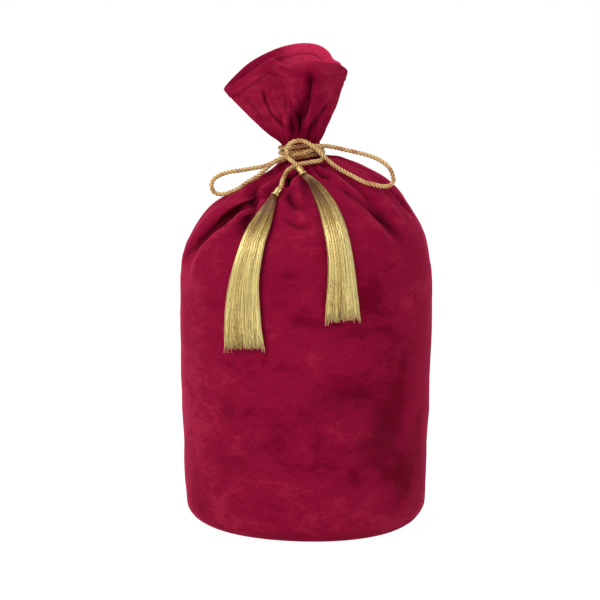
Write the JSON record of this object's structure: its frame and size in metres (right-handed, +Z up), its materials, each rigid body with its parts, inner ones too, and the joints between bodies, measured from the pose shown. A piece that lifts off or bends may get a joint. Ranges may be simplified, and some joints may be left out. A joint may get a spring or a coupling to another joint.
{
  "type": "velvet sack",
  "caption": "Velvet gift sack that stands filled on its flat base, gathered at the neck under an open ruff and tied in a bow with a twisted gold cord that ends in tassels",
  "frame": {"origin": "centre of the sack's footprint, on the surface it stands on", "axes": "+Z up along the sack's height, the tassels hang on the front, which faces -Y, +X to the right seen from the front"},
  "size_m": [0.252, 0.2323, 0.4767],
  "materials": {
    "velvet": "crushed velvet pile, deep red",
    "gold_cord": "twisted metallic yarn",
    "gold_metal": "polished thin sheet",
    "gold_thread": "fine metallic threads"
  },
  "bodies": {
    "root": {"sack": "velvet", "cord_winding": "gold_cord", "cord_bow_left": "gold_cord", "cord_bow_right": "gold_cord", "tassel_cap_left": "gold_metal", "tassel_cap_right": "gold_metal", "tassel_skirt_left": "gold_thread", "tassel_skirt_right": "gold_thread"}
  },
  "joints": []
}
